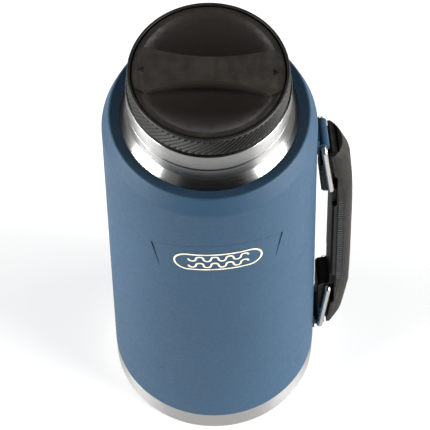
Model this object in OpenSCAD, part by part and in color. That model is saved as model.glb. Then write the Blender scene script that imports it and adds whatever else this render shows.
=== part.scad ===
// Large vacuum water jug: double-walled steel body, two-part screw lid and a pull-out carry handle.
// Millimetres, +Z up. The origin is the centre of the base, the badge faces -Y, the handle is at +X.

/* [Body] */
// Radius of the painted body
body_r = 60; // [58:0.5:62]
// Thickness of the sheet steel of both walls
sheet = 0.8; // [0.6:0.1:1]
// Height of the bare steel band at the foot
band_h = 17; // [12:1:22]
// Height of the painted shoulder's rim
rim_z = 269.7; // [268:0.1:272]
// Height of the mouth's lip
lip_z = 297.2; // [296:0.1:299]
// Radius of the liner's wall, outside
flask_r = 53.3; // [50:0.1:55]

/* [Neck] */
// Outer radius of the neck
neck_r = 45.5; // [45:0.1:46]
// Bore radius of the mouth
mouth_r = 40.5; // [40:0.1:41]

/* [Lid] */
// Outer radius of the collar ring
collar_r = 44.6; // [44:0.1:45]
// Height of the collar ring
collar_h = 15; // [14:0.5:17]
// Lift of the collar for one turn
collar_lead = 8; // [8:4:8]
// Lift of the stopper for one turn
stopper_lead = 12; // [12:4:12]
// Radius of the finger wells at the top
well_r = 38.6; // [37:0.2:39]
// Depth of the dished finger wells at the middle
well_depth = 5.7; // [4:0.1:8]
// Width of the turning bar at its middle
bar_w = 14.8; // [10:0.2:16]
// Height of the bar's crown above the stopper's rim
bar_rise = 3.4; // [1:0.2:4]
// Turn of the bar from the handle's plane, screwed home
bar_turn = -7.35; // [-30:0.05:30]

/* [Handle] */
// Height of the handle's middle
handle_z = 132.5; // [130:0.5:135]
// Half of the grip's length
grip_half = 97.5; // [95:0.5:98]
// Width of the grip
grip_w = 24; // [22:0.5:26]
// Distance of the grip's back from the body's axis
grip_x = 81.5; // [79:0.5:83]
// Radius of the bail wire
wire_r = 1.8; // [1.5:0.1:2]
// Distance from the handle's middle to each bail's hinge
hinge_dz = 103; // [102:0.5:104]

/* [Badge] */
// Height of the badge's middle
badge_z = 207.5; // [190:0.5:215]
// Width of the badge
badge_w = 50; // [30:1:54]

/* [Hidden] */
$fn = 120;

BLUE = [0.31, 0.42, 0.54];
STEEL = [0.76, 0.76, 0.77];
BLACK = [0.11, 0.105, 0.10];
SOFT = [0.07, 0.075, 0.085];
RUBBER = [0.55, 0.56, 0.57];
CREAM = [0.82, 0.80, 0.74];

eps = 0.01;             // overlap that makes a cut run past a face
far = 200;              // longer than any part, for half spaces

// Shoulder
cone_a = 19.1;          // lean of the shoulder band from the vertical
crease_r = 8;           // blend radius between wall and shoulder band
rim_fillet = 1.4;
rim_cx = 54.9;
rim_cz = rim_z - rim_fillet;
ring_a = 103.5;         // direction of the normal of the ring inside the rim
ring_in_r = 49.6;

// Neck
neck_low_r = 45.3;
flare_a = 51.5;         // slope of the flare between neck and rim
flare_r = 0.9;          // bend from neck to flare
flare_z = 268.55;       // where the flare goes under the rim
flare_cx = neck_low_r + flare_r;
flare_t = 270 - flare_a;
flare_cz = flare_z + (ring_in_r - flare_cx - flare_r * cos(flare_t)) * tan(flare_a) - flare_r * sin(flare_t);
neck_inner_r = 43.8;
liner_neck_r = mouth_r + sheet;

// Liner
flask_floor = 10.5;
floor_r = 10;
shoulder_z = 236;
convex_r = 14;
concave_r = 10;
shoulder_a = acos(1 - (flask_r - liner_neck_r) / (convex_r + concave_r));

// Badge
badge_turn = -1.2;             // turn about the jug's axis from square with the handle
badge_lean = 26.5;             // its rows sink towards both ends

// Collar, bottom to top
collar_z = lip_z + 0.5;
collar_top = collar_z + collar_h;
skirt_r = 38.6;
skirt_bore = 36.6;
skirt_z = 283;
seat_z = skirt_z + 2;          // top of the lip that carries the stopper's gasket
seat_r = 32.6;
flange_z = collar_top - 3;     // seat of the stopper's disc
taper_z = 301;                 // foot of the tapered bore
gasket_h = 2;

// Stopper
disc_r = 42.3;
disc_top = collar_top - 0.8;
plug_r = 34.9;
plug_z = seat_z + gasket_h;
plug_wall = 2;
cup_top = plug_z + 1.8;
cap_floor = disc_top - well_depth - 1.8;
dish_r = 165;
dish_edge = 35.3;              // where the dish meets the bevel under the wells' rim
bar_half = 34.5;               // from the middle to the bar's corners
bar_crown_r = 248;
bar_side_r = 88;

// Screw threads
ridge_base = 1.5;
ridge_crest = 0.7;
ridge_h = 1.3;
ridge_root = 0.3;
turn_steps = 30;

// Handle
hinge_x = 63;
barrel_r = 3.3;
barrel_w = 17.6;
bore_gap = 0.05;               // running clearance between wire and barrel
leg_y = 11.3;
bend_r = 2.4;                  // wire's bend, on its centre line
peg_dx = 4.6;
peg_dz = 44.5;
peg_in = 5.6;
block_w = 18;
block_in_x = 62;
block_z = 55;                  // from the handle's middle to the blocks' faces
hand_x = 68.6;
liner_w = 23;
split_x = 72;                  // joint between the grip's two halves
back_r = 15.84;
end_a = 20;                    // lean of the grip's outer ends
bow_r = 1400;                  // long bow of the grip's back
end_z = 75.5;
side_r = 13;                   // rounder back towards the ends
side_x = grip_x - back_r + sqrt(pow(back_r, 2) - pow(grip_w / 2, 2))
         - sqrt(pow(side_r, 2) - pow(grip_w / 2, 2));
side_cuts = [[52, 9.2], [-38, -7]];    // height at which each starts, lean
grip_wall = 2.2;
band_x = [72.3, 75.0];
band_z = 46;
rib_pitch = 2.5;
screw_z = 40;

// Points of an arc about [cx, cy], in the plane of a profile
function arc(cx, cy, r, a0, a1, n = 8) =
    [for (i = [0 : n]) let (a = a0 + (a1 - a0) * i / n) [cx + r * cos(a), cy + r * sin(a)]];

// Height at which the shoulder's crease starts on the wall
function crease_z() =
    rim_cz + rim_fillet * sin(cone_a) - crease_r * sin(cone_a)
    - (body_r - crease_r + crease_r * cos(cone_a) - rim_cx - rim_fillet * cos(cone_a)) / tan(cone_a);

// Painted shell's surface, moved inwards by t
function shell_line(t) =
    let (end = arc(rim_cx, rim_cz, rim_fillet - t, ring_a, ring_a, 1)[0])
    concat([[body_r - t, band_h]],
           arc(body_r - crease_r, crease_z(), crease_r - t, 0, cone_a, 6),
           arc(rim_cx, rim_cz, rim_fillet - t, cone_a, ring_a, 8),
           [[ring_in_r, end[1] - (end[0] - ring_in_r) * tan(ring_a - 90)]]);

// Liner's surface, moved inwards by t
function flask_line(t) =
    concat([[0, flask_floor + t]],
           arc(flask_r - floor_r, flask_floor + floor_r, floor_r - t, -90, 0, 8),
           arc(flask_r - convex_r, shoulder_z, convex_r - t, 0, shoulder_a, 8),
           arc(liner_neck_r + concave_r, shoulder_z + (convex_r + concave_r) * sin(shoulder_a),
               concave_r + t, 180 + shoulder_a, 180, 8));

function reversed(v) = [for (i = [len(v) - 1 : -1 : 0]) v[i]];

// One helical ridge. r0 is buried in the wall and r1 is the crest; both ends run out into the wall.
module ridge(r0, r1, z0, z1, lead, phase) {
    turns = (z1 - z0) / lead;
    n = ceil(turns * turn_steps);
    run_out = 3;
    function crest(i) = r0 + (r1 - r0) * min(1, (i + 0.4) / run_out, (n - i + 0.4) / run_out);
    pts = [for (i = [0 : n])
        let (a = phase + 360 * turns * i / n, z = z0 + (z1 - z0) * i / n, c = crest(i))
        each [[r0 * cos(a), r0 * sin(a), z - ridge_base / 2],
              [c * cos(a), c * sin(a), z - ridge_crest / 2],
              [c * cos(a), c * sin(a), z + ridge_crest / 2],
              [r0 * cos(a), r0 * sin(a), z + ridge_base / 2]]];
    out = r1 > r0;
    side = [for (i = [0 : n - 1], k = [0 : 3])
        let (a = 4 * i + k, b = 4 * i + (k + 1) % 4)
        out ? [a, b, b + 4, a + 4] : [a, a + 4, b + 4, b]];
    ends = out ? [[3, 2, 1, 0], [4 * n, 4 * n + 1, 4 * n + 2, 4 * n + 3]]
               : [[0, 1, 2, 3], [4 * n + 3, 4 * n + 2, 4 * n + 1, 4 * n]];
    polyhedron(pts, concat(side, ends), convexity = 8);
}

module ridges(r0, r1, z0, z1, lead, starts, phase = 0) {
    for (k = [0 : starts - 1]) ridge(r0, r1, z0, z1, lead, phase + 360 * k / starts);
}

// ---------------------------------------------------------------- body

// Wedge-shaped slit beside the badge, shallower and narrower downwards
module badge_slit(side) {
    slit_l = 22.5;
    rotate([0, 0, side * 35]) translate([0, -body_r, badge_z - 4])
        rotate([-1.4, side * 10.4, 0]) rotate([90, 0, 0]) translate([0, 0, -0.42]) linear_extrude(3)
            polygon([[-1.25, slit_l / 2], [1.25, slit_l / 2], [0.25, -slit_l / 2], [-0.25, -slit_l / 2]]);
}

// Fine groove over the badge, where a leaning plane meets the body
module brow_groove() {
    lean = 42.2;
    half_w = body_r * sin(36);
    intersection() {
        difference() {
            cylinder(r = body_r + 2, h = rim_z);
            translate([0, 0, -1]) cylinder(r = body_r - 0.07, h = rim_z + 2);
        }
        translate([0, -body_r, badge_z + 18.4]) rotate([-lean, 0, 0])
            cube([2 * half_w, 50, 0.8], center = true);
    }
}

module outer_shell() {
    color(BLUE) difference() {
        rotate_extrude() polygon(concat(shell_line(0), reversed(shell_line(sheet))));
        rotate([0, 0, badge_turn]) {
            for (side = [-1, 1]) badge_slit(side);
            brow_groove();
        }
    }
}

module base_cup() {
    cup_r = body_r - 0.3;
    corner = 2.5;
    color(STEEL) difference() {
        rotate_extrude() polygon(concat(
            [[0, 0]],
            arc(cup_r - corner, corner, corner, -90, 0, 6),
            [[cup_r, band_h], [cup_r - sheet, band_h]],
            reversed(arc(cup_r - corner, corner, corner - sheet, -90, 0, 6)),
            [[0, sheet], [0, 0]]));
        translate([0, 0, -1]) cylinder(r = 7, h = 3);
        rotate_extrude() translate([40, -1]) square([5, 1.3]);
    }
}

module vacuum_seal() {
    color(STEEL) {
        cylinder(r = 6.9, h = 1);
        translate([0, 0, 1]) cylinder(r = 9, h = 0.8);
    }
}

module inner_flask() {
    color(STEEL) {
        rotate_extrude() polygon(concat(
            flask_line(0), [[liner_neck_r, lip_z], [mouth_r + 0.4, lip_z], [mouth_r, lip_z - 0.4]],
            reversed(flask_line(sheet))));
        ridges(mouth_r + ridge_root, mouth_r - ridge_h, 285.5, 294.5, collar_lead, 2);
    }
}

module vacuum_getter() {
    color(STEEL) translate([22, 0, flask_floor - 2]) cylinder(r = 5, h = 2);
}

module neck_sleeve() {
    groove_z = 283;
    foot_z = 267.6;
    color(STEEL) rotate_extrude() polygon(concat(
        [[neck_inner_r, lip_z - sheet], [liner_neck_r, lip_z - sheet], [liner_neck_r, lip_z]],
        arc(neck_r - 0.4, lip_z - 0.4, 0.4, 90, 0, 4),
        [[neck_r, groove_z + 1.7], [neck_low_r - 0.7, groove_z + 1.2], [neck_low_r - 0.7, groove_z],
         [neck_low_r, groove_z - 0.4]],
        arc(flare_cx, flare_cz, flare_r, 180, flare_t, 6),
        [[ring_in_r, flare_z], [ring_in_r, foot_z], [52.5, foot_z], [52.5, foot_z - sheet],
         [49.2, foot_z - sheet]],
        arc(flare_cx, flare_cz, flare_r + sheet, flare_t, 180, 6),
        [[neck_inner_r, flare_cz + 2]]));
}

// Rolled hinge barrel on a curved pad, z is the barrel's height
module bracket(z) {
    pad_h = 14;
    translate([0, 0, z]) difference() {
        union() {
            translate([hinge_x, 0, 0]) rotate([90, 0, 0]) cylinder(r = barrel_r, h = barrel_w, center = true);
            translate([body_r - 3, -barrel_w / 2, 0.6 - barrel_r])
                cube([hinge_x - body_r + 3, barrel_w, 2 * barrel_r - 1.2]);
            intersection() {
                cylinder(r = body_r + 1, h = pad_h, center = true);
                translate([body_r - 5, -barrel_w / 2, -pad_h / 2]) cube([10, barrel_w, pad_h]);
            }
        }
        cylinder(r = body_r, h = far, center = true);
        translate([hinge_x, 0, 0]) rotate([90, 0, 0])
            cylinder(r = wire_r + bore_gap, h = barrel_w + 2, center = true);
    }
}

module upper_bracket() { color(BLUE) bracket(handle_z + hinge_dz); }

module lower_bracket() { color(BLUE) bracket(handle_z - hinge_dz); }

// Plain capsule outline with two rows of waves, as a flat pattern
module badge_pattern() {
    h = 15.8;
    line = 1;
    wave_r = 2.6;
    waves = 8;
    module capsule(w, t) {
        square([w - t, t], center = true);
        for (s = [-1, 1]) translate([s * (w - t) / 2, 0]) circle(d = t);
    }
    difference() {
        capsule(badge_w, h);
        capsule(badge_w - 2 * line, h - 2 * line);
    }
    for (row = [-1, 1], k = [0 : waves - 1]) {
        up = k % 2;
        translate([(k - (waves - 1) / 2) * (2 * wave_r - line), row * 3.1]) intersection() {
            difference() {
                circle(r = wave_r);
                circle(r = wave_r - line);
            }
            translate([-wave_r, up == 1 ? -eps : -wave_r]) square([2 * wave_r, wave_r + eps]);
        }
    }
}

module front_badge() {
    color(CREAM) intersection() {
        difference() {
            cylinder(r = body_r + 0.25, h = rim_z);
            translate([0, 0, -1]) cylinder(r = body_r, h = rim_z + 2);
        }
        rotate([0, 0, badge_turn]) translate([0, -body_r, badge_z]) rotate([90 - badge_lean, 0, 0])
            translate([0, 0, -15]) linear_extrude(30) badge_pattern();
    }
}

// ---------------------------------------------------------------- handle

// Draws its child at the top end and mirrored at the bottom end of the handle
module both_ends() {
    for (m = [0, 1]) translate([0, 0, handle_z]) mirror([0, 0, m]) children();
}

// Everything inside a round back: a cylinder with its inner side filled
module back_limit(r) {
    cylinder(r = r, h = 2 * far, center = true);
    translate([-far, -r, -far]) cube([far, 2 * r, 2 * far]);
}

// D-shaped bar with leaning ends, smaller by t all round its back
module d_bar(t) {
    intersection() {
        translate([60, -grip_w / 2 + t, -grip_half + t]) cube([30, grip_w - 2 * t, 2 * (grip_half - t)]);
        translate([grip_x - back_r, 0, 0]) back_limit(back_r - t);
        translate([grip_x - bow_r - t, 0, 0]) rotate([90, 0, 0])
            cylinder(r = bow_r, h = far, center = true, $fn = 720);
        intersection_for (m = [0, 1]) mirror([0, 0, m]) translate([grip_x - back_r, 0, end_z])
            rotate([0, -end_a, 0]) back_limit(back_r - t);
        intersection_for (cut = side_cuts) translate([side_x, 0, cut[0]])
            rotate([0, -cut[1], 0]) back_limit(side_r - t);
    }
}

// Space beside an end block in which a bail's leg lies, with a round lower end
module leg_recess() {
    recess_x = 71.2;
    arch_r = 3.2;
    arch_z = block_z - 12;
    for (side = [0, 1]) mirror([0, side, 0]) translate([0, block_w / 2 + 10, 0]) rotate([90, 0, 0])
        linear_extrude(10) {
            polygon([[40, 105], [66.2, 105], [69.4, 75], [recess_x, 73], [recess_x, arch_z], [40, arch_z]]);
            translate([recess_x - arch_r, arch_z]) circle(r = arch_r);
            translate([40, arch_z - arch_r]) square([recess_x - arch_r - 40, arch_r + eps]);
        }
}

module grip_outer() {
    boss_r = 3.5;
    color(BLACK) difference() {
        translate([0, 0, handle_z]) d_bar(0);
        translate([40, -block_w / 2, handle_z - far / 2]) cube([split_x - 40, block_w, far]);
        translate([40, -grip_w, handle_z - block_z]) cube([split_x - 40, 2 * grip_w, 2 * block_z]);
        both_ends() leg_recess();
        difference() {
            intersection() {
                translate([0, 0, handle_z]) d_bar(grip_wall);
                translate([split_x - eps, -far / 2, 0]) cube([far, far, far * 2]);
            }
            both_ends() translate([split_x, 0, screw_z]) rotate([0, 90, 0]) cylinder(r = boss_r, h = 8);
        }
        both_ends() translate([split_x - 1, 0, screw_z]) rotate([0, 90, 0]) cylinder(r = 1.4, h = 6);
        for (side = [-1, 1]) translate([band_x[0], side * (grip_w / 2) - 0.8, handle_z - band_z])
            cube([band_x[1] - band_x[0], 1.6, 2 * band_z]);
    }
}

module grip_inner() {
    slot_x = [hinge_x + peg_dx - wire_r - 0.4, hinge_x + peg_dx + wire_r + 1.6];
    slot_z = [peg_z() - wire_r - 0.3, peg_z() + wire_r + 14.3];
    soften = 1.2;
    color(BLACK) difference() {
        union() {
            both_ends() rotate([90, 0, 0]) linear_extrude(block_w, center = true)
                polygon(concat(
                    [[split_x, block_z - 3], [split_x, grip_half - 1.5], [68, grip_half],
                     [66.6, grip_half - 1], [66, grip_half - 6], [block_in_x, grip_half - 14]],
                    arc(block_in_x + 3, block_z + 3, 3, 180, 270, 6),
                    arc(hand_x - 2, block_z - 2, 2, 90, 0, 4)));
            translate([0, 0, handle_z - block_z]) linear_extrude(2 * block_z)
                polygon([[split_x, -liner_w / 2], [hand_x + soften, -liner_w / 2],
                         [hand_x, -liner_w / 2 + soften], [hand_x, liner_w / 2 - soften],
                         [hand_x + soften, liner_w / 2], [split_x, liner_w / 2]]);
        }
        both_ends() leg_recess();
        both_ends() for (side = [0, 1]) mirror([0, side, 0])
            translate([slot_x[0], peg_in - 0.4, slot_z[0]])
                cube([slot_x[1] - slot_x[0], 10, slot_z[1] - slot_z[0]]);
        both_ends() translate([0, 0, screw_z]) rotate([0, 90, 0]) {
            translate([0, 0, hand_x - 1]) cylinder(r = 2.9, h = 3);
            translate([0, 0, hand_x]) cylinder(r = 1.6, h = 5);
        }
    }
}

// Height of a bail's peg above the handle's middle
function peg_z() = hinge_dz - peg_dz;

module grip_rib_bands() {
    ribs = floor(2 * band_z / rib_pitch) - 1;
    color(SOFT) for (side = [0, 1]) mirror([0, side, 0]) translate([band_x[0], grip_w / 2 - 0.8, handle_z]) {
        translate([0, 0, -band_z]) cube([band_x[1] - band_x[0], 0.4, 2 * band_z]);
        for (k = [0 : ribs]) translate([0, 0.4 - eps, -band_z + rib_pitch * (k + 0.2)])
            cube([band_x[1] - band_x[0], 0.4 + eps, rib_pitch * 0.6]);
    }
}

module grip_screws() {
    color(STEEL) both_ends() translate([0, 0, screw_z]) rotate([0, 90, 0]) difference() {
        union() {
            translate([0, 0, hand_x + 0.2]) cylinder(r = 2.7, h = 1.8);
            translate([0, 0, hand_x + 0.2]) cylinder(r = 1.35, h = 8);
        }
        translate([0, 0, hand_x - 1]) cylinder(d = 2.4, h = 2.2, $fn = 6);
    }
}

// Bent stretch of wire: a quarter circle that starts along +X from the origin and turns to +Y
module wire_bend() {
    translate([0, bend_r, 0]) rotate([0, 0, -90]) rotate_extrude(angle = 90)
        translate([bend_r, 0]) circle(r = wire_r, $fn = 48);
}

// U-shaped wire bail; it hangs from the hinge at z = hinge_dz above the handle's middle
module bail() {
    leg = norm([peg_dx, peg_dz]);
    straight = leg_y - bend_r;
    translate([hinge_x, 0, hinge_dz]) rotate([0, -atan2(peg_dx, peg_dz), 0]) {
        rotate([90, 0, 0]) cylinder(r = wire_r, h = 2 * straight, center = true);
        for (side = [0, 1]) mirror([0, side, 0]) {
            translate([0, straight, 0]) rotate([0, 0, 90]) rotate([-90, 0, 0]) wire_bend();
            translate([0, leg_y, bend_r - leg]) cylinder(r = wire_r, h = leg - 2 * bend_r);
            translate([0, straight, -leg]) rotate([0, 0, 90]) rotate([90, 0, 0]) wire_bend();
            translate([0, straight, -leg]) rotate([90, 0, 0]) cylinder(r = wire_r, h = straight - peg_in);
        }
    }
}

module upper_bail() { color(STEEL) translate([0, 0, handle_z]) bail(); }

module lower_bail() { color(STEEL) translate([0, 0, handle_z]) mirror([0, 0, 1]) bail(); }

// ---------------------------------------------------------------- lid

module collar_gasket() {
    color(RUBBER) rotate_extrude() translate([40.6, lip_z]) square([1.6, gasket_h]);
}

module collar_ring() {
    color(BLACK) rotate_extrude() polygon([
        [42.65, flange_z], [42.65, collar_top - 0.4], [43.05, collar_top], [collar_r - 0.8, collar_top],
        [collar_r, collar_top - 0.9], [collar_r, collar_z + 0.4], [collar_r - 0.4, collar_z],
        [43.4, collar_z], [43.4, 301.1], [42, 302.5], [42, flange_z]]);
}

module collar_skirt() {
    color(BLACK) {
        rotate_extrude() polygon([
            [skirt_r, skirt_z], [skirt_r, collar_z], [40.3, collar_z], [40.3, lip_z + gasket_h],
            [42.5, lip_z + gasket_h], [42.5, collar_z], [43.35, collar_z], [43.35, 301], [41.95, 302.4],
            [41.95, flange_z], [40.9, flange_z], [36.9, taper_z], [skirt_bore, taper_z],
            [skirt_bore, seat_z], [seat_r, seat_z], [seat_r, skirt_z]]);
        ridges(skirt_r - ridge_root, skirt_r + ridge_h, 285.5 + collar_lead / 4, 294.5 + collar_lead / 4 - 2,
               collar_lead, 2);
        ridges(skirt_bore + ridge_root, skirt_bore - 1.1, 288.5, 298.5, stopper_lead, 3);
    }
}

module stopper_gasket() {
    color(RUBBER) rotate_extrude() translate([seat_r, seat_z]) square([2.5, gasket_h]);
}

// Outline of the turning bar: hollowed by two large circles, its ends cut back to the rim
module bar_outline() {
    end_w = bar_w / 2 + bar_side_r - sqrt(pow(bar_side_r, 2) - pow(bar_half, 2));
    difference() {
        polygon([for (sx = [1, -1]) each [
            [sx * bar_half, -sx * end_w], [sx * (bar_half + 5), -sx * (end_w - 2.8)],
            [sx * disc_r, -sx * (end_w - 2.8)], [sx * disc_r, sx * (end_w - 2.8)],
            [sx * (bar_half + 5), sx * (end_w - 2.8)], [sx * bar_half, sx * end_w]]]);
        for (s = [-1, 1]) translate([0, s * (bar_w / 2 + bar_side_r)]) circle(r = bar_side_r, $fn = 240);
    }
}

// Turning bar with a crowned top, kept inside the cap's tapered underside
module turning_bar() {
    crown_z = disc_top + bar_rise;
    foot_z = cap_floor + 0.5;
    foot_r = 36 + 4 * (foot_z - taper_z) / (flange_z - taper_z);
    intersection() {
        translate([0, 0, foot_z]) linear_extrude(far) bar_outline();
        rotate_extrude() polygon([
            [0, foot_z - 1], [foot_r, foot_z - 1], [foot_r, foot_z], [40, flange_z + 0.2],
            [disc_r - 1, flange_z + 0.2], [disc_r - 1, collar_top + 20], [0, collar_top + 20]]);
        translate([0, 0, crown_z - bar_crown_r]) rotate([90, 0, 0])
            cylinder(r = bar_crown_r, h = far, center = true, $fn = 360);
    }
}

// Space of both finger wells: a shallow dish with a bevelled rim
module wells() {
    bevel_z = disc_top - well_depth + dish_r - sqrt(pow(dish_r, 2) - pow(dish_edge, 2));
    intersection() {
        translate([0, 0, disc_top - well_depth + dish_r]) sphere(r = dish_r, $fn = 240);
        cylinder(r = dish_edge, h = bevel_z + 1);
    }
    translate([0, 0, bevel_z])
        cylinder(r1 = dish_edge, r2 = well_r, h = disc_top - bevel_z);
    translate([0, 0, disc_top - eps]) cylinder(r = well_r, h = 5);
}

// Outward arrowhead for a bar's end, as a flat pattern
module arrow_pattern() {
    polygon([[-1.3, -1.9], [-1.3, 1.9], [1.9, 0]]);
}

module stopper_cap() {
    color(BLACK) {
        rotate([0, 0, bar_turn]) difference() {
            union() {
                difference() {
                    rotate_extrude() polygon([
                        [0, cap_floor], [0, disc_top], [disc_r - 0.8, disc_top], [disc_r, disc_top - 0.8],
                        [disc_r, flange_z + 0.05], [40.2, flange_z + 0.05], [36.2, taper_z],
                        [plug_r, taper_z - 0.8],
                        [plug_r, cup_top], [plug_r - plug_wall, cup_top], [plug_r - plug_wall, cap_floor]]);
                    wells();
                }
                turning_bar();
            }
            translate([-26, -bar_w / 2 + 2.4, cap_floor - 1])
                cube([52, bar_w - 4.8, well_depth + bar_rise]);
            for (s = [0, 1]) rotate([0, 0, 180 * s]) translate([36.5, 0, disc_top + 0.25])
                linear_extrude(5) arrow_pattern();
        }
        ridges(plug_r - ridge_root, plug_r + 1.1, 290.5 + stopper_lead / 6, 297.5 + stopper_lead / 6,
               stopper_lead, 3, 70);
    }
}

module stopper_base() {
    color(BLACK) rotate_extrude() polygon([
        [0, seat_z + 0.4], [seat_r - 0.3, seat_z + 0.4], [seat_r - 0.3, plug_z], [plug_r, plug_z],
        [plug_r, cup_top], [plug_r - plug_wall - 0.05, cup_top], [plug_r - plug_wall - 0.05, cup_top + 3],
        [plug_r - plug_wall - 2, cup_top + 3], [plug_r - plug_wall - 2, cup_top], [0, cup_top]]);
}

module stopper_insulation() {
    color([0.9, 0.9, 0.88]) translate([0, 0, cup_top + 0.1])
        cylinder(r = 30.6, h = cap_floor - cup_top - 0.4);
}

outer_shell();
base_cup();
vacuum_seal();
inner_flask();
vacuum_getter();
neck_sleeve();
upper_bracket();
lower_bracket();
front_badge();
grip_outer();
grip_inner();
grip_rib_bands();
grip_screws();
upper_bail();
lower_bail();
collar_gasket();
collar_ring();
collar_skirt();
stopper_gasket();
stopper_cap();
stopper_base();
stopper_insulation();
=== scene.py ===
"""Vacuum water jug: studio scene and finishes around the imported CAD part. Units are metres."""
import math

import bmesh
import bpy
from mathutils import Matrix, Vector


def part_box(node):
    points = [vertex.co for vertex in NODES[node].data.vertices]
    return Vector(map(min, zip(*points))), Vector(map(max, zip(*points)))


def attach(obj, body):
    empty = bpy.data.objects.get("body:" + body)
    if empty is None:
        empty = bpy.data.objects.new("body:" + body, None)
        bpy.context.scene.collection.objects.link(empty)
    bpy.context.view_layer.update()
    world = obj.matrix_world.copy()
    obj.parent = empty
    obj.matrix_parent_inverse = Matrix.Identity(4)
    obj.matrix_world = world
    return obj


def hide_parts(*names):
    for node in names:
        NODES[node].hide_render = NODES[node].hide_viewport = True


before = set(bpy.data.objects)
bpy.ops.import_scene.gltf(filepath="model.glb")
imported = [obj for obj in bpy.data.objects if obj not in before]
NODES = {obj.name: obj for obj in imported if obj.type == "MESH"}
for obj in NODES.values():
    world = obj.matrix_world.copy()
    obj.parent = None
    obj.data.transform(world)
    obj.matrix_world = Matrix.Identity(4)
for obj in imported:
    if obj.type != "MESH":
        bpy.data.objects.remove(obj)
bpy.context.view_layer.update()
MM = 0.001


# ---------------------------------------------------------------- node helpers

class Finish:
    """A procedural material being built: short helpers around its node tree."""

    HOLLOW_SHADE_RANGE = (0.45, 0.88)          # ambient occlusion for the painted shade, from fully shaded to open
    HOLLOW_SHADE_DEPTH = 0.85                  # amount of painted shade in the deepest hollow
    EDGE_RANGE = (0.508, 0.56)           # pointiness from flat to a sharp edge

    def __init__(self, name):
        self.material = bpy.data.materials.new(name)
        self.material.use_nodes = True
        self.tree = self.material.node_tree
        self.shader = self.tree.nodes["Principled BSDF"]
        self.coords = self.tree.nodes.new("ShaderNodeTexCoord").outputs["Object"]

    def set(self, **values):
        for key, value in values.items():
            self.shader.inputs[key.replace("_", " ")].default_value = value
        return self

    def node(self, kind, **settings):
        made = self.tree.nodes.new(kind)
        for key, value in settings.items():
            setattr(made, key, value)
        return made

    def link(self, source, target):
        self.tree.links.new(source, target)

    def feed(self, source, name):
        self.link(source, self.shader.inputs[name])

    def math(self, kind, *values):
        made = self.node("ShaderNodeMath", operation=kind)
        for slot, value in zip(made.inputs, values):
            if isinstance(value, (int, float)):
                slot.default_value = value
            else:
                self.link(value, slot)
        return made.outputs[0]

    def axes(self):
        """Object coordinates, split, with the angle and radius about the jug's axis."""
        split = self.node("ShaderNodeSeparateXYZ")
        self.link(self.coords, split.inputs[0])
        x, y, z = split.outputs
        squares = self.math("ADD", self.math("MULTIPLY", x, x), self.math("MULTIPLY", y, y))
        radius = self.math("SQRT", squares)
        return x, y, z, self.math("ARCTAN2", y, x), radius

    def point(self, x, y, z):
        join = self.node("ShaderNodeCombineXYZ")
        for slot, value in zip(join.inputs, (x, y, z)):
            if isinstance(value, (int, float)):
                slot.default_value = value
            else:
                self.link(value, slot)
        return join.outputs[0]

    def noise(self, scale, detail=3.0, roughness=0.55, at=None):
        """Fractal noise in object space, or at another point."""
        made = self.node("ShaderNodeTexNoise")
        made.inputs["Scale"].default_value = scale
        made.inputs["Detail"].default_value = detail
        made.inputs["Roughness"].default_value = roughness
        self.link(at or self.coords, made.inputs["Vector"])
        return made.outputs["Fac"]

    def ramp(self, source, stops):
        """Colours from (place, colour) stops along the source's 0 to 1."""
        made = self.node("ShaderNodeValToRGB")
        band = made.color_ramp
        while len(band.elements) < len(stops):
            band.elements.new(0.5)
        for element, (place, colour) in zip(band.elements, stops):
            element.position = place
            element.color = (*colour, 1)
        self.link(source, made.inputs["Fac"])
        return made.outputs["Color"]

    def span(self, source, low, high, out_low, out_high):
        """The source, stretched from low..high to out_low..out_high and kept inside it."""
        made = self.node("ShaderNodeMapRange")
        self.link(source, made.inputs["Value"])
        limits = (("From Min", low), ("From Max", high), ("To Min", out_low), ("To Max", out_high))
        for key, value in limits:
            made.inputs[key].default_value = value
        return made.outputs["Result"]

    def mix(self, amount, first, second):
        """Blend of two colours by a 0 to 1 amount."""
        made = self.node("ShaderNodeMix", data_type="RGBA")
        self.link(amount, made.inputs["Factor"])
        colour_sockets = (made.inputs[6], made.inputs[7])        # A and B in colour mode
        for slot, value in zip(colour_sockets, (first, second)):
            if isinstance(value, tuple):
                slot.default_value = (*value, 1)
            else:
                self.link(value, slot)
        return made.outputs[2]

    def bump(self, height, strength, distance):
        """Relief, added to what the finish has so far."""
        made = self.node("ShaderNodeBump")
        made.inputs["Strength"].default_value = strength
        made.inputs["Distance"].default_value = distance
        self.link(height, made.inputs["Height"])
        previous = self.shader.inputs["Normal"].links
        if previous:
            self.link(previous[0].from_socket, made.inputs["Normal"])
        self.link(made.outputs["Normal"], self.shader.inputs["Normal"])

    def painted_hollow_shade(self, shade_reach):
        """Painted shade mask: 0 in the open, towards 1 in grooves and corners."""
        shade = self.node("ShaderNodeAmbientOcclusion", samples=8)
        shade.inputs["Distance"].default_value = shade_reach
        return self.span(shade.outputs["AO"], *self.HOLLOW_SHADE_RANGE, self.HOLLOW_SHADE_DEPTH, 0.0)

    def edge(self):
        """0 on flat surfaces, towards 1 on convex edges."""
        geometry = self.node("ShaderNodeNewGeometry")
        return self.span(geometry.outputs["Pointiness"], *self.EDGE_RANGE, 0.0, 1.0)

    def on(self, *pieces):
        for piece in pieces:
            piece.data.materials.clear()
            piece.data.materials.append(self.material)
            for face in piece.data.polygons:
                face.material_index = 0


def srgb(r, g, b):
    """Linear colour from an 8-bit sRGB one."""
    def one(v):
        v /= 255
        return v / 12.92 if v <= 0.04045 else ((v + 0.055) / 1.055) ** 2.4
    return (one(r), one(g), one(b))


# ---------------------------------------------------------------- finishes

WALL_TOP = 0.24                           # painted shade goes in grooves below this height, not on the rim above


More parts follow.
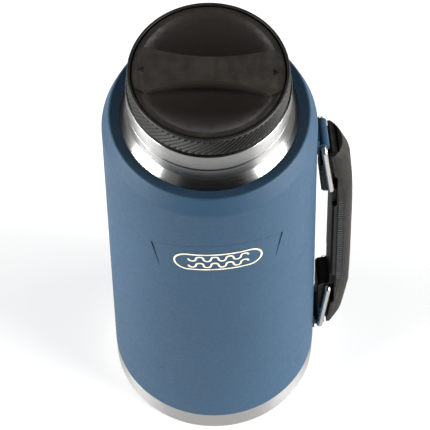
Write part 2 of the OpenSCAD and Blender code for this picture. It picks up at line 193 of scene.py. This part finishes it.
def powder_coat():
    """Fine-grained satin powder coat: orange-peel relief, faint clouding, dull scuffs, and painted
    shade in the grooves low on the wall.
    """
    f = Finish("blue_powder_coat").set(Metallic=0.0, IOR=1.5, Specular_IOR_Level=0.3)
    grain = f.noise(1300, 2)
    peel = f.noise(420, 2, 0.5)
    cloud = f.noise(11, 3)
    colour = f.ramp(cloud, [(0.3, srgb(18, 47, 67)), (0.7, srgb(21, 51, 72))])
    fleck = f.span(grain, 0.62, 0.74, 0.0, 0.2)
    colour = f.mix(fleck, colour, srgb(58, 94, 124))
    height = f.axes()[2]
    # painted shade: grooves, slits and joints below WALL_TOP darkened towards deep blue-black srgb(8,
    # 20, 34)
    grooves = f.math("MULTIPLY", f.painted_hollow_shade(2.5 * MM), f.math("LESS_THAN", height, WALL_TOP))
    f.feed(f.mix(grooves, colour, srgb(8, 20, 34)), "Base Color")
    scuff = f.span(f.noise(38, 5, 0.7), 0.58, 0.74, 0.0, 0.08)
    f.feed(f.math("ADD", f.span(peel, 0.3, 0.7, 0.57, 0.66), scuff), "Roughness")
    f.bump(peel, 0.16, 0.0003)
    f.bump(grain, 0.2, 0.0002)
    return f


def turned_steel(name, rough, light, line_scale, line_bump, mark=0.06, spread=0.88):
    """Stainless steel with the fine rings that turning leaves, slight handling marks, and painted shade
    in crevices.
    """
    f = Finish(name).set(Metallic=1.0, Anisotropic=spread, Anisotropic_Rotation=0.25)
    f.feed(f.node("ShaderNodeTangent", direction_type="RADIAL", axis="Z").outputs[0], "Tangent")
    height, angle, radius = f.axes()[2:]
    along = f.math("MULTIPLY", f.math("ADD", height, radius), line_scale)
    lines = f.noise(60, 4, 0.7, f.point(f.math("MULTIPLY", angle, 0.004), 0.0, along))
    marks = f.noise(90, 4, 0.65)
    line_tone = f.span(lines, 0.25, 0.75, light * 0.9, light)
    tone = f.math("MULTIPLY", line_tone, f.span(marks, 0.3, 0.7, 0.96, 1.0))
    tint = f.point(tone, f.math("MULTIPLY", tone, 0.99), f.math("MULTIPLY", tone, 0.97))
    # painted shade: crevices darkened towards near black
    f.feed(f.mix(f.painted_hollow_shade(1.5 * MM), tint, (0.03, 0.03, 0.03)), "Base Color")
    f.feed(f.math("ADD", f.span(lines, 0.25, 0.75, rough - 0.04, rough + 0.06),
                  f.span(marks, 0.5, 0.8, 0.0, mark)), "Roughness")
    f.bump(lines, line_bump, 0.0002)
    return f


def moulded_plastic(name, colour, rough, grain_scale=1100.0, gloss=0.5, shade_reach=5.0 * MM):
    """Spark-textured moulding: pitted grain, faint clouding, a painted highlight along convex edges,
    and painted shade in recesses.
    """
    f = Finish(name).set(IOR=1.48, Specular_IOR_Level=gloss)
    grain = f.noise(grain_scale, 3, 0.6)
    cloud = f.noise(26, 3)
    dark = tuple(0.82 * c for c in colour)
    body = f.ramp(cloud, [(0.3, dark), (0.7, colour)])
    pale = tuple(min(1, 1.9 * c) for c in colour)
    body = f.mix(f.span(grain, 0.55, 0.8, 0.0, 0.35), body, pale)
    # painted highlight: convex edges lightened, unevenly along their length
    edge_highlight = f.math("MULTIPLY", f.edge(), f.span(f.noise(160, 3), 0.35, 0.65, 0.15, 0.7))
    edge_highlight_colour = tuple(min(1, 2.6 * c + 0.01) for c in colour)
    # painted shade: recesses darkened to half the colour
    shaded = f.mix(f.painted_hollow_shade(shade_reach), f.mix(edge_highlight, body, edge_highlight_colour), tuple(0.5 * c for c in colour))
    f.feed(shaded, "Base Color")
    f.feed(f.span(grain, 0.3, 0.7, rough - 0.06, rough + 0.08), "Roughness")
    f.bump(grain, 0.25, 0.0002)
    return f


def drawn_wire():
    """Bright wire with fine die lines along it."""
    f = Finish("bright_wire").set(Metallic=1.0)
    x, y, z = f.axes()[:3]
    lines = f.noise(40, 3, 0.6, f.point(f.math("MULTIPLY", x, 60), f.math("MULTIPLY", y, 60), z))
    f.feed(f.ramp(lines, [(0.3, (0.4, 0.39, 0.37)), (0.7, (0.5, 0.49, 0.46))]), "Base Color")
    f.feed(f.span(lines, 0.3, 0.7, 0.18, 0.3), "Roughness")
    f.bump(lines, 0.05, 0.0001)
    return f


def silicone():
    """Milky gasket rubber."""
    f = Finish("seal_silicone").set(IOR=1.41, Subsurface_Weight=0.15, Subsurface_Radius=(2.0 * MM,) * 3)
    cloud = f.noise(60, 3)
    f.feed(f.ramp(cloud, [(0.3, srgb(152, 153, 154)), (0.7, srgb(170, 171, 171))]), "Base Color")
    f.feed(f.span(f.noise(800, 2), 0.3, 0.7, 0.45, 0.58), "Roughness")
    f.bump(f.noise(500, 2), 0.1, 0.0002)
    return f


def rigid_foam():
    """Cut face of closed-cell foam."""
    f = Finish("insulating_foam").set(IOR=1.3)
    cells = f.node("ShaderNodeTexVoronoi")
    cells.inputs["Scale"].default_value = 700
    f.link(f.coords, cells.inputs["Vector"])
    depth = cells.outputs["Distance"]
    f.feed(f.ramp(depth, [(0.1, srgb(205, 203, 196)), (0.6, srgb(238, 236, 230))]), "Base Color")
    f.feed(f.span(depth, 0.0, 0.6, 0.75, 0.95), "Roughness")
    f.bump(depth, 0.5, 0.0005)
    return f


def badge_ink():
    """Printed cream ink, a little uneven."""
    f = Finish("badge_ink").set(IOR=1.45)
    tone = f.ramp(f.noise(240, 3), [(0.35, srgb(178, 171, 152)), (0.65, srgb(203, 197, 179))])
    f.feed(tone, "Base Color")
    f.feed(f.span(f.noise(900, 2), 0.3, 0.7, 0.38, 0.52), "Roughness")
    f.bump(f.noise(900, 2), 0.15, 0.0001)
    return f


# ---------------------------------------------------------------- camera, floor and light

CAMERA_PLACE = (-0.0787, -1.0466, 1.9938)
CAMERA_PITCH = math.radians(60.278)      # looking down
CAMERA_TURN = math.radians(-4.404)
CAMERA_ROLL = math.radians(-1.231)
SENSOR = 36.0
LENS = 306.8


def make_camera():
    data = bpy.data.cameras.new("camera")
    data.sensor_width = SENSOR
    data.lens = LENS
    data.clip_end = 20
    camera = bpy.data.objects.new("camera", data)
    tilt = Matrix.Rotation(math.radians(90) - CAMERA_PITCH, 4, "X")
    turn = Matrix.Rotation(CAMERA_TURN, 4, "Z")
    roll = Matrix.Rotation(CAMERA_ROLL, 4, "Z")
    camera.matrix_world = Matrix.Translation(CAMERA_PLACE) @ turn @ tilt @ roll
    bpy.context.scene.collection.objects.link(camera)
    bpy.context.scene.camera = camera


FLOOR_HALF = 4.0
FLOOR_SHADE = (-0.65, -0.2)              # depth where the sweep turns from shade to full light
FLOOR_SHADE_LIGHT = 0.2                  # light left in the shade
FLOOR_WHITE = 0.6
FLOOR_GLOW = 0.28


def make_floor():
    mesh = bpy.data.meshes.new("floor")
    half = FLOOR_HALF
    corners = [(-half, -half, 0), (half, -half, 0), (half, half, 0), (-half, half, 0)]
    mesh.from_pydata(corners, [], [(0, 1, 2, 3)])
    floor = bpy.data.objects.new("floor", mesh)
    bpy.context.scene.collection.objects.link(floor)
    f = Finish("floor_white").set(Roughness=0.9, Specular_IOR_Level=0.1, Emission_Color=(1, 1, 1, 1))
    depth = f.axes()[1]
    lit = f.span(depth, *FLOOR_SHADE, FLOOR_SHADE_LIGHT, 1.0)
    f.feed(f.mix(lit, (0.0, 0.0, 0.0), (FLOOR_WHITE,) * 3), "Base Color")
    f.feed(f.math("MULTIPLY", lit, FLOOR_GLOW), "Emission Strength")
    mesh.materials.append(f.material)


WORLD_LIGHT = 0.02
LIGHT_TARGET = (0, 0, 0.15)
LIGHTS = (                               # name, place, width and height, watts
    ("softbox_left", (-1.75, -1.0, 0.95), (1.7, 1.3), 2.5),
    ("softbox_right", (1.65, -1.15, 0.95), (1.7, 1.3), 2.5),
    ("side_left", (-1.93, -0.53, 0.42), (1.1, 0.8), 112),
    ("side_right", (1.77, -0.92, 0.42), (1.2, 0.8), 140),
    ("top_left", (-1.35, 0.2, 1.4), (0.6, 0.6), 12),
    ("top_right", (1.35, -0.05, 1.55), (0.6, 0.6), 12),
    ("back", (0.0, 2.4, 0.9), (2.4, 0.8), 22),
)


def area_light(name, place, size, power):
    data = bpy.data.lights.new(name, "AREA")
    data.shape = "RECTANGLE"
    data.size, data.size_y = size
    data.energy = power
    light = bpy.data.objects.new(name, data)
    light.location = place
    light.rotation_euler = (Vector(LIGHT_TARGET) - Vector(place)).to_track_quat("-Z", "Y").to_euler()
    bpy.context.scene.collection.objects.link(light)


def make_lights():
    world = bpy.data.worlds.new("studio")
    bpy.context.scene.world = world
    world.use_nodes = True
    background = world.node_tree.nodes["Background"]
    background.inputs["Color"].default_value = (1, 1, 1, 1)
    background.inputs["Strength"].default_value = WORLD_LIGHT
    for light in LIGHTS:
        area_light(*light)
    view = bpy.context.scene.view_settings
    view.view_transform = "Standard"
    view.look = "None"
    view.exposure = 0.0


# ---------------------------------------------------------------- pieces

def new_piece(name, mesh, body, replaced):
    piece = bpy.data.objects.new(name, mesh)
    bpy.context.scene.collection.objects.link(piece)
    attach(piece, body)
    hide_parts(replaced)
    return piece


def smooth(mesh, angle=35.0):
    for face in mesh.polygons:
        face.use_smooth = True
    mesh.set_sharp_from_angle(angle=math.radians(angle))


def knurled_ring():
    """Collar ring with slanting ribs round its outside."""
    low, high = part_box("collar_ring")
    crest = high[0]
    z0, z1 = low[2], high[2]
    ribs, steps = 80, 12                   # steps are points per rib
    depth = 0.85 * MM                      # of a groove
    half_crest, flank = 0.22, 0.6          # shares of a rib's half pitch
    lean = 1.0 / crest                     # turn per metre of height, ribs at 45 degrees
    bottom, top = z0 + 0.5 * MM, z1 - 1.6 * MM
    fade = 0.7 * MM                        # height over which a rib runs out at its ends
    rows = 18
    mouth = 42.65 * MM                     # radius round the stopper's top
    bore = 42.0 * MM                       # radius below the inside ledge
    skirt = 43.4 * MM                      # radius round the threaded skirt
    shoulder = 3.0 * MM                    # inside ledge below the top
    bore_end, skirt_start = 302.5 * MM, 301.1 * MM
    # closed outline, up the outside and down the inside: (radius, height, is knurled)
    outline = [(crest - 0.55 * MM, z0, 0.0)]
    for i in range(rows + 1):
        outline.append((crest, bottom + (top - bottom) * i / rows, 1.0))
    outline += [(crest - 0.25 * MM, z1 - 1.1 * MM, 0.0), (crest - 0.45 * MM, z1 - 0.45 * MM, 0.0),
                (crest - 0.8 * MM, z1 - 0.1 * MM, 0.0), (crest - 1.15 * MM, z1, 0.0),
                (mouth + 0.55 * MM, z1, 0.0), (mouth + 0.2 * MM, z1 - 0.15 * MM, 0.0),
                (mouth, z1 - 0.45 * MM, 0.0), (mouth, z1 - shoulder, 0.0),
                (bore, z1 - shoulder, 0.0), (bore, bore_end, 0.0),
                (skirt, skirt_start, 0.0), (skirt, z0, 0.0)]
    around = ribs * steps
    built = bmesh.new()
    loops = []
    for radius, z, knurled in outline:
        loop = []
        for k in range(around):
            angle = 2 * math.pi * k / around
            r = radius
            if knurled:
                present = max(0.0, min(1.0, (z - bottom) / fade, (top - z) / fade))
                phase = (angle - lean * (z - z0)) * ribs / (2 * math.pi)
                # 0 on a crest's line, 1 in the middle of a groove
                wave = abs(2 * (phase - math.floor(phase)) - 1)
                groove = min(1.0, max(0.0, (wave - half_crest) / flank))
                crest_share = 1 - groove * groove * (3 - 2 * groove)
                r -= depth * (1 - crest_share * present)
            loop.append(built.verts.new((r * math.cos(angle), r * math.sin(angle), z)))
        loops.append(loop)
    for lower, upper in zip(loops, loops[1:] + loops[:1]):
        for k in range(around):
            n = (k + 1) % around
            built.faces.new((lower[k], lower[n], upper[n], upper[k]))
    mesh = bpy.data.meshes.new("knurled_ring")
    built.to_mesh(mesh)
    built.free()
    smooth(mesh, 50)
    return new_piece("knurled_ring", mesh, "collar", "collar_ring")


MERGE_GAP = 0.002 * MM                   # points nearer than this are one
FLAT_ANGLE = math.radians(0.6)           # faces within this angle are one flat face
CREASE = math.radians(28.0)              # edges sharper than this are rounded


def softened(node, name, body, width):
    """Copy of a CAD node with its sharp edges rounded off."""
    source = NODES[node]
    built = bmesh.new()
    built.from_mesh(source.data)
    bmesh.ops.remove_doubles(built, verts=built.verts, dist=MERGE_GAP)
    bmesh.ops.dissolve_limit(built, angle_limit=FLAT_ANGLE, verts=built.verts, edges=built.edges)
    mesh = bpy.data.meshes.new(name)
    built.to_mesh(mesh)
    built.free()
    piece = new_piece(name, mesh, body, node)
    bevel = piece.modifiers.new("round", "BEVEL")
    bevel.width = width
    bevel.segments = 2
    bevel.limit_method = "ANGLE"
    bevel.angle_limit = CREASE
    bevel.use_clamp_overlap = True
    weighted = piece.modifiers.new("normals", "WEIGHTED_NORMAL")
    weighted.mode = "FACE_AREA_WITH_ANGLE"
    weighted.keep_sharp = True
    for face in mesh.polygons:
        face.use_smooth = True
    depsgraph = bpy.context.evaluated_depsgraph_get()
    rounded = bpy.data.meshes.new_from_object(piece.evaluated_get(depsgraph))
    piece.modifiers.clear()
    piece.data = rounded
    return piece


WALL_TOLERANCE = 0.03 * MM


def body_shell():
    """Copy of the painted shell whose wall is shaded as the true cylinder that it is."""
    low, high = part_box("outer_shell")
    wall = high[0]
    mesh = NODES["outer_shell"].data.copy()
    mesh.name = "body_shell"
    smooth(mesh, 25)
    normals = [tuple(n.vector) for n in mesh.corner_normals]
    for face in mesh.polygons:
        spots = [mesh.vertices[i].co for i in face.vertices]
        if all(abs(math.hypot(p.x, p.y) - wall) < WALL_TOLERANCE for p in spots):
            for loop in face.loop_indices:
                p = mesh.vertices[mesh.loops[loop].vertex_index].co
                normals[loop] = (p.x / wall, p.y / wall, 0.0)
    mesh.normals_split_custom_set(normals)
    return new_piece("body_shell", mesh, "jug", "outer_shell")


# ---------------------------------------------------------------- the scene

make_camera()
make_floor()
make_lights()

shell = body_shell()
ring = knurled_ring()
cap = softened("stopper_cap", "stopper_top", "stopper", 0.3 * MM)
back = softened("grip_outer", "grip_back", "grip", 0.5 * MM)
palm = softened("grip_inner", "grip_palm", "grip", 0.4 * MM)

coat = powder_coat()
coat.on(shell, NODES["upper_bracket"], NODES["lower_bracket"])
turned_steel("neck_steel", 0.28, 0.35, 60.0, 0.05, 0.04).on(
    NODES["neck_sleeve"], NODES["inner_flask"])
turned_steel("band_steel", 0.34, 0.33, 55.0, 0.16, spread=0.78).on(
    NODES["base_cup"], NODES["vacuum_seal"], NODES["vacuum_getter"])
moulded_plastic("lid_plastic", srgb(35, 31, 27), 0.42, gloss=0.38).on(
    cap, NODES["collar_skirt"], NODES["stopper_base"])
moulded_plastic("ring_plastic", srgb(17, 16, 15), 0.5, gloss=0.2, shade_reach=1.2 * MM).on(ring)
moulded_plastic("grip_plastic", srgb(18, 16, 12), 0.55, 900.0, gloss=0.12).on(back, palm)
moulded_plastic("grip_rubber", srgb(20, 23, 28), 0.6, 700.0).on(NODES["grip_rib_bands"])
drawn_wire().on(NODES["upper_bail"], NODES["lower_bail"], NODES["grip_screws"])
silicone().on(NODES["collar_gasket"], NODES["stopper_gasket"])
badge_ink().on(NODES["front_badge"])
rigid_foam().on(NODES["stopper_insulation"])
